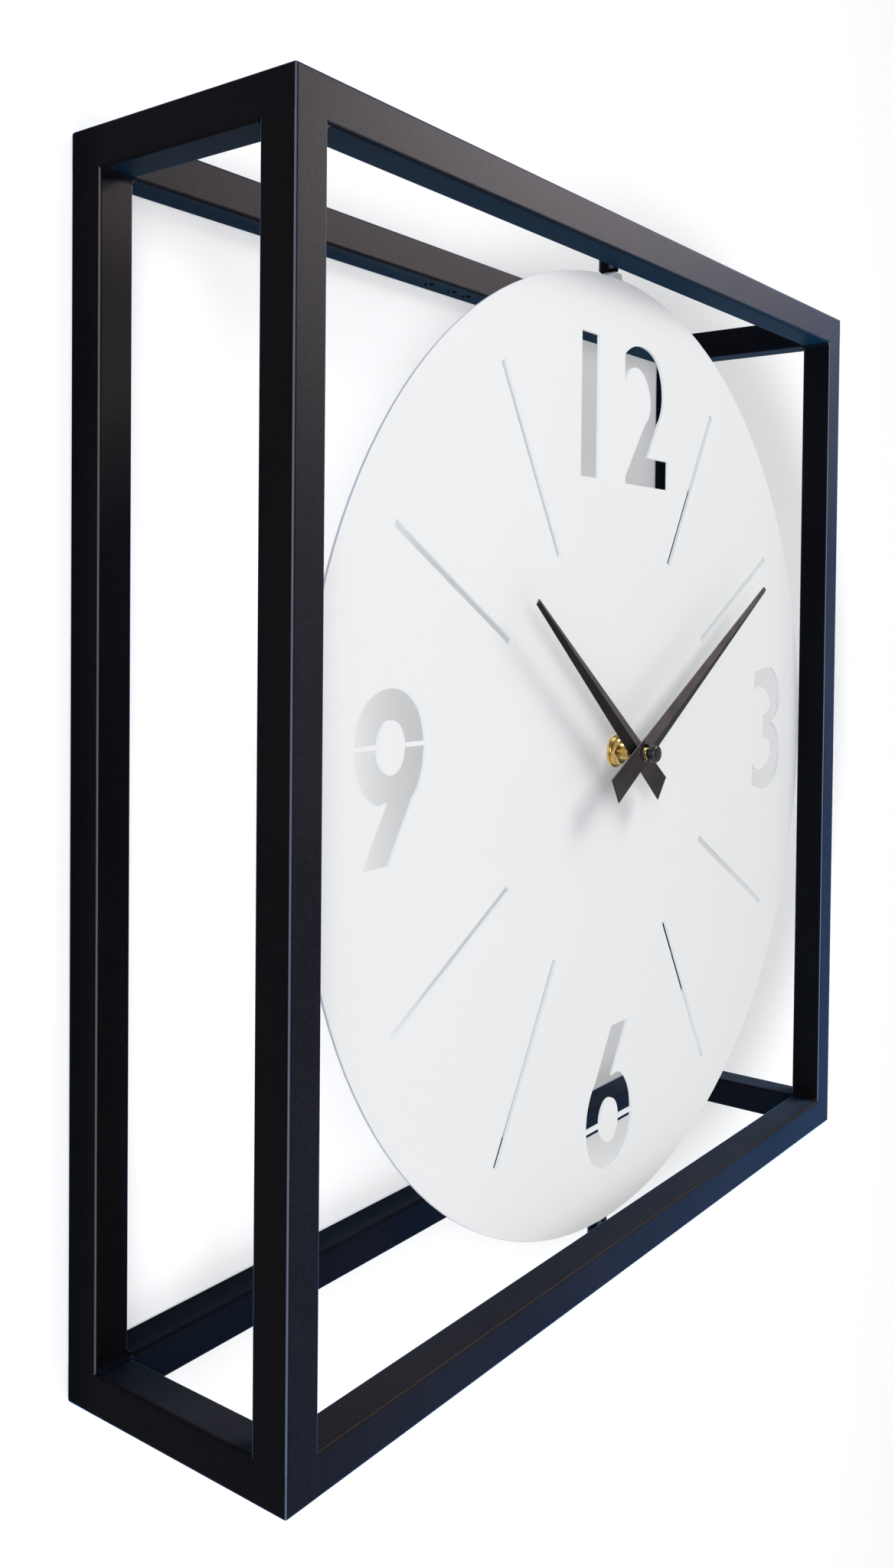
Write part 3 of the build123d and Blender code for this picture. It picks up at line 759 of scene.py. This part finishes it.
class CLOCK_OT_finishes(bpy.types.Operator):
    """Paint, plate and mould every part that keeps its own shape"""
    bl_idname = "clock.finishes"
    bl_label = "Finishes"

    def execute(self, context):
        colours = context.scene.clock_finishes
        # The frame's coat gets 0.75 of the painted highlight on its upright edges.
        frame_finish = powder_coat("powder coat", colours.frame_paint, 0.75)
        dial_finish = dial_enamel(colours.dial_paint, colours.dial_edge)
        brass = turned_metal("brass", colours.brass, 0.20)
        steel = turned_metal("bright steel", STEEL, 0.24)
        case = moulded("case plastic", colours.case, 0.42, 700.0, 0.04 * MM)
        acetal = moulded("acetal", colours.acetal, 0.34, 500.0, 0.01 * MM)
        magnet = moulded("sintered magnet", (0.16, 0.155, 0.15), 0.55, 1500.0, 0.03 * MM)
        chip = moulded("chip resin", (0.015, 0.015, 0.016), 0.5, 1800.0, 0.02 * MM)
        seal = moulded("rubber", (0.02, 0.02, 0.021), 0.7, 900.0, 0.02 * MM)
        cap = moulded("cap", tint(colours.case, 1.2), 0.26, 900.0, 0.01 * MM)
        by_slot = {
            "frame_black": frame_finish, "dial_white": dial_finish, "brass": brass, "steel": steel,
            "case_black": case, "acetal": acetal, "rubber": seal, "coil_copper": copper_winding(),
            "board_green": solder_mask(), "chip_black": chip, "magnet_grey": magnet, "cap_black": cap,
            "battery_wrap": battery_sleeve(*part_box("battery_cell")), "hand_black": hand_enamel(colours.hand_paint),
        }
        slots = {part["node"]: part["material_slot"] for part in frame["record"]["subparts"]}
        for node, piece in frame["nodes"].items():
            for holder in piece.material_slots or ():
                holder.material = by_slot[slots[node]]
            if not piece.material_slots:
                raise RuntimeError(node + " has no material slot")
        return {"FINISHED"}


class CLOCK_OT_stage(bpy.types.Operator):
    """Hang the clock on a pale wall above a pale floor, with soft lights and the camera"""
    bl_idname = "clock.stage"
    bl_label = "Stage"

    def execute(self, context):
        self.surfaces()
        scene = context.scene
        scene.world = bpy.data.worlds.new("studio")
        scene.world.use_nodes = True
        background = scene.world.node_tree.nodes["Background"]
        background.inputs["Color"].default_value = (0.98, 0.985, 1.0, 1.0)
        background.inputs["Strength"].default_value = 0.35
        scene.view_settings.view_transform = "Standard"
        scene.view_settings.look = "None"
        self.lamps()
        self.camera(scene)
        return {"FINISHED"}

    def group(self, name, test):
        """Collection of the pieces that a lamp may light."""
        lit = bpy.data.collections.new(name)
        for piece in bpy.context.scene.objects:
            if piece.type == "MESH" and test(piece):
                lit.objects.link(piece)
        return lit

    def lamps(self):
        aim = Vector((0.0, -0.06, AXIS.z))
        rail = Vector((-0.1, -0.118, 0.0))
        painted = self.group("frame parts", lambda piece: body_of(piece) == ["frame"])
        pressed = self.group("hands", lambda piece: piece.name.endswith("_hand_pressed"))
        clock = self.group("clock parts", lambda piece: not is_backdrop(piece))
        stage = self.group("stage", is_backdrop)
        for name, place, towards, size, power, colour, lit in (
                ("key", aim + Vector((1.3, -1.7, 2.0)), aim, (1.2, 1.2), 44, (1.0, 0.985, 0.965), clock),
                ("left", aim + Vector((-1.9, -1.7, 0.5)), aim, (1.4, 1.4), 30, (0.96, 0.98, 1.0), None),
                ("sky", aim + Vector((0.0, 0.0, 1.9)), aim, (2.4, 0.1), 45, SKY_BLUE, painted),
                ("ground", aim + Vector((-0.2, 0.0, -1.3)), aim, (2.4, 0.1), 150, GROUND_BLUE, painted),
                ("rail", Vector((1.0, -0.9, 0.55)), rail, (0.5, 0.5), 130, (1.0, 0.90, 0.88), painted),
                ("above", AXIS + Vector((0.0, -0.2, 1.0)), AXIS, (0.3, 0.3), 135, (1.0, 0.95, 0.97), pressed),
                ("wash", aim + Vector((0.0, -2.6, 0.3)), aim, (3.0, 3.0), 48, (1.0, 1.0, 1.0), stage)):
            lamp = self.lamp(name, place, towards, size, power, colour)
            lamp.data.use_shadow = lit not in (pressed, stage)
            lamp.light_linking.receiver_collection = lit

    def surfaces(self):
        for name, place, turn, finish in (
                ("wall", (0.0, 0.0006, 0.0), (pi / 2, 0, 0), wall_paint()),
                ("floor", (0.0, 0.0, -1.6), (0, 0, 0), floor_paint())):
            clear_selection()
            bpy.ops.mesh.primitive_plane_add(size=9.0, location=place, rotation=turn)
            piece = bpy.context.object
            bpy.ops.object.transform_apply(location=True, rotation=True, scale=True)
            piece.name = name
            piece.data.materials.append(finish)
            piece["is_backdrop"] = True

    def lamp(self, name, place, aim, size, power, colour):
        light = bpy.data.lights.new(name, "AREA")
        light.shape = "RECTANGLE"
        light.size, light.size_y = size
        light.energy = power
        light.color = colour
        lamp = bpy.data.objects.new(name, light)
        lamp.location = place
        lamp.rotation_euler = (aim - place).to_track_quat("-Z", "Y").to_euler()
        bpy.context.scene.collection.objects.link(lamp)
        return lamp

    def camera(self, scene):
        lens = bpy.data.cameras.new("camera")
        lens.lens = 31.863
        lens.shift_x = 0.0322
        lens.shift_y = -0.0839
        lens.clip_start = 0.01
        camera = bpy.data.objects.new("camera", lens)
        camera.location = (-0.5985, -0.4370, -0.1802)
        camera.rotation_euler = [radians(angle) for angle in (88.686, -0.508, -51.849)]
        scene.collection.objects.link(camera)
        scene.camera = camera


class CLOCK_PT_panel(bpy.types.Panel):
    """Sidebar panel with the steps in the order they are run"""
    bl_idname = "CLOCK_PT_panel"
    bl_label = "Wall clock"
    bl_space_type = "VIEW_3D"
    bl_region_type = "UI"
    bl_category = "Clock"

    def draw(self, context):
        for group in (context.scene.clock_sizes, context.scene.clock_finishes):
            column = self.layout.column(align=True)
            for key in group.__annotations__:
                column.prop(group, key)
        for step in STEPS:
            self.layout.operator(step.bl_idname)


STEPS = (CLOCK_OT_finishes, CLOCK_OT_welds, CLOCK_OT_hands, CLOCK_OT_hub, CLOCK_OT_stage)
CLASSES = (ClockSizes, ClockFinishes, *STEPS, CLOCK_PT_panel)


def register():
    for kind in CLASSES:
        bpy.utils.register_class(kind)
    bpy.types.Scene.clock_sizes = bpy.props.PointerProperty(type=ClockSizes)
    bpy.types.Scene.clock_finishes = bpy.props.PointerProperty(type=ClockFinishes)


def unregister():
    del bpy.types.Scene.clock_finishes
    del bpy.types.Scene.clock_sizes
    for kind in reversed(CLASSES):
        bpy.utils.unregister_class(kind)


def main():
    register()
    for step in STEPS:
        family, name = step.bl_idname.split(".")
        getattr(getattr(bpy.ops, family), name)()


if __name__ == "__main__":
    main()
